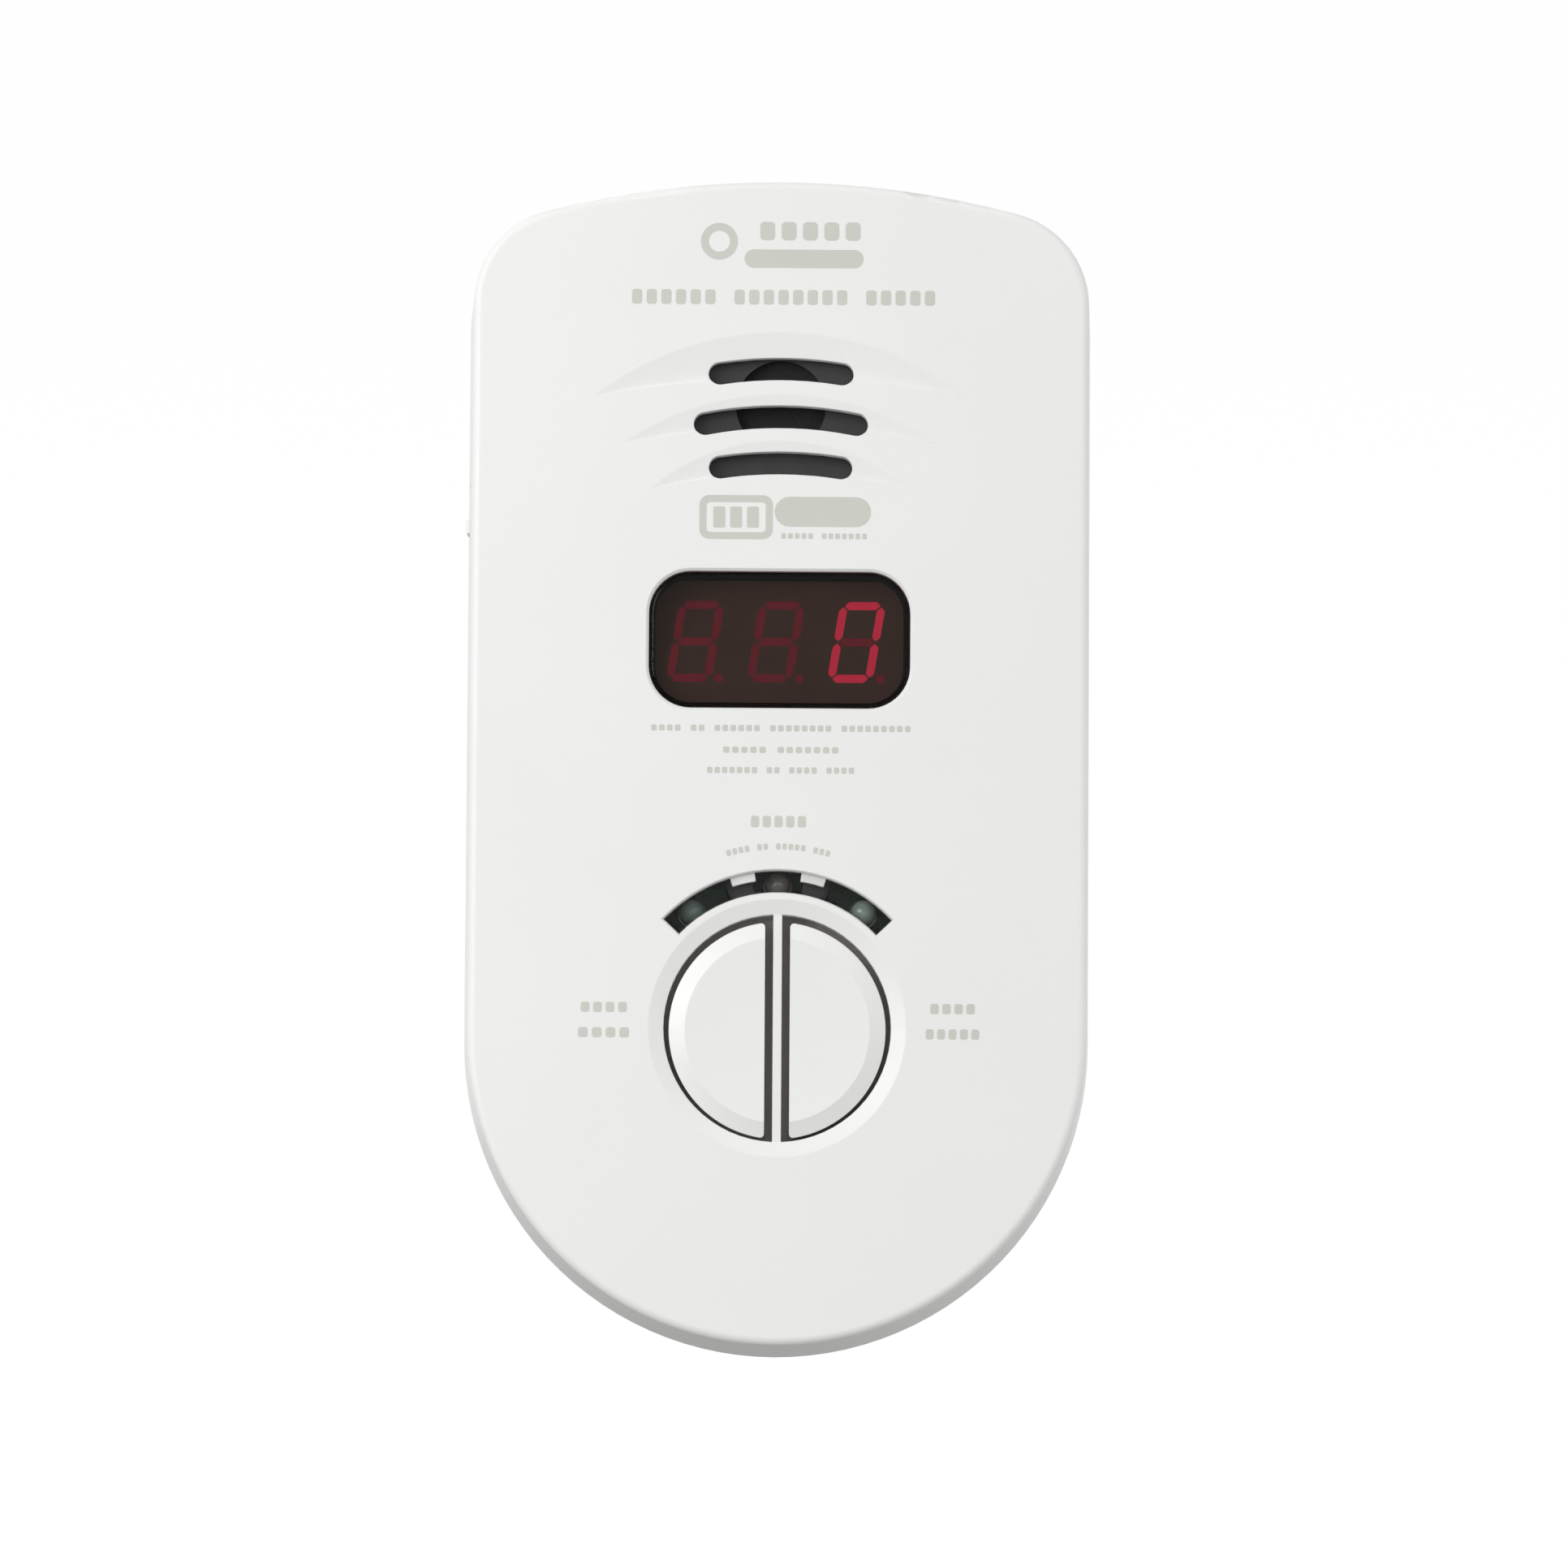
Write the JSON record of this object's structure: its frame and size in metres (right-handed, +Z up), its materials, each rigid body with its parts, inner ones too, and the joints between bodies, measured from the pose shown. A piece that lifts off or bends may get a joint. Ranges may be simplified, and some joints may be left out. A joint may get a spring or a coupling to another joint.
{
  "type": "carbon monoxide detector",
  "caption": "Plug-in carbon monoxide alarm: tall off-white housing with a round lower end, curved sounder slots, three-digit display, status light arc and split round button.",
  "frame": {"origin": "midway between the two plug blades, on the rear face of the housing", "axes": "+Z up, +Y towards the wall along the blades, +X to the right seen from the room"},
  "size_m": [0.0721, 0.0537, 0.134],
  "materials": {
    "cover_plastic": "satin off-white",
    "rear_plastic": "fine-textured off-white",
    "button_plastic": "satin off-white",
    "screw_steel": "zinc-plated",
    "label_paper": "silver-grey film",
    "blade_nickel": "nickel-plated",
    "contact_brass": "bare",
    "black_plastic": "satin black",
    "tinned_lead": "tinned",
    "smoked_lens": "gloss, smoked red-brown",
    "black_foam": "matt foam",
    "seal_rubber": "matt moulded",
    "display_face": "matt dark",
    "segment_lit": "lit red",
    "segment_dark": "unlit red",
    "clear_lens": "gloss, clear",
    "led_green": "translucent green",
    "led_red": "translucent red",
    "led_amber": "translucent amber",
    "piezo_ceramic": "silvered",
    "wire_red": "insulated wire",
    "wire_black": "insulated wire",
    "circuit_board": "green solder mask",
    "sensor_steel": "pressed steel",
    "battery_sleeve": "shrink sleeve",
    "capacitor_yellow": "moulded case",
    "capacitor_sleeve": "sleeved can",
    "varistor_blue": "dipped epoxy",
    "resistor_body": "coated",
    "ferrite": "sintered",
    "copper_wire": "enamelled"
  },
  "bodies": {
    "housing": {"front_cover": "cover_plastic", "rear_cover": "rear_plastic", "plug_insert": "rear_plastic", "case_screws": "screw_steel", "pcb_screws": "screw_steel", "rating_label": "label_paper", "plug_blades": "blade_nickel", "blade_contacts": "contact_brass", "button_seals": "seal_rubber", "test_switch_body": "black_plastic", "peak_switch_body": "black_plastic", "tact_switch_legs": "tinned_lead", "display_lens": "smoked_lens", "display_gasket": "black_foam", "display_module": "display_face", "display_segments_lit": "segment_lit", "display_segments_dark": "segment_dark", "display_pins": "tinned_lead", "light_strip": "clear_lens", "light_baffle": "black_plastic", "green_led": "led_green", "red_led": "led_red", "amber_led": "led_amber", "led_leads": "tinned_lead", "sounder_horn": "black_plastic", "sounder_mesh": "black_foam", "sounder_base": "black_plastic", "sounder_gasket": "black_foam", "piezo_disc": "contact_brass", "piezo_element": "piezo_ceramic", "piezo_leads": "wire_red", "main_pcb": "circuit_board", "sensor_can": "black_plastic", "sensor_filter": "black_foam", "sensor_cap": "sensor_steel", "sensor_pins": "tinned_lead", "battery_cell": "battery_sleeve", "battery_tabs": "blade_nickel", "battery_lead_red": "wire_red", "battery_lead_black": "wire_black", "battery_connector": "rear_plastic", "battery_pad": "black_foam", "battery_switch_body": "sensor_steel", "mains_capacitor": "capacitor_yellow", "filter_capacitors": "capacitor_sleeve", "varistor": "varistor_blue", "fuse_resistor": "resistor_body", "rectifier_diodes": "black_plastic", "boost_coil_core": "ferrite", "boost_coil_winding": "copper_wire", "microcontroller": "black_plastic", "microcontroller_legs": "tinned_lead", "chip_resistors": "resistor_body"},
    "test_button": {"test_button": "button_plastic"},
    "peak_button": {"peak_button": "button_plastic"},
    "test_plunger": {"test_switch_plunger": "black_plastic"},
    "peak_plunger": {"peak_switch_plunger": "black_plastic"},
    "battery_slider": {"battery_slider": "button_plastic", "battery_switch_actuator": "black_plastic"}
  },
  "joints": [
    {"name": "test_press", "type": "slide", "parent": "housing", "child": "test_button", "axis": [0, 1, 0], "range_m": [0, 0.0006], "stiffness_N_per_m": 1500},
    {"name": "peak_press", "type": "slide", "parent": "housing", "child": "peak_button", "axis": [0, 1, 0], "range_m": [0, 0.0006], "stiffness_N_per_m": 1500},
    {"name": "test_plunger_press", "type": "slide", "parent": "housing", "child": "test_plunger", "axis": [0, 1, 0], "range_m": [0, 0.0006]},
    {"name": "peak_plunger_press", "type": "slide", "parent": "housing", "child": "peak_plunger", "axis": [0, 1, 0], "range_m": [0, 0.0006]},
    {"name": "battery_switch", "type": "slide", "parent": "housing", "child": "battery_slider", "axis": [0, 0, -1], "range_m": [0, 0.003]}
  ],
  "couplings": [
    {"joint": "test_plunger_press", "follows": "test_press", "ratio": 1},
    {"joint": "peak_plunger_press", "follows": "peak_press", "ratio": 1}
  ]
}
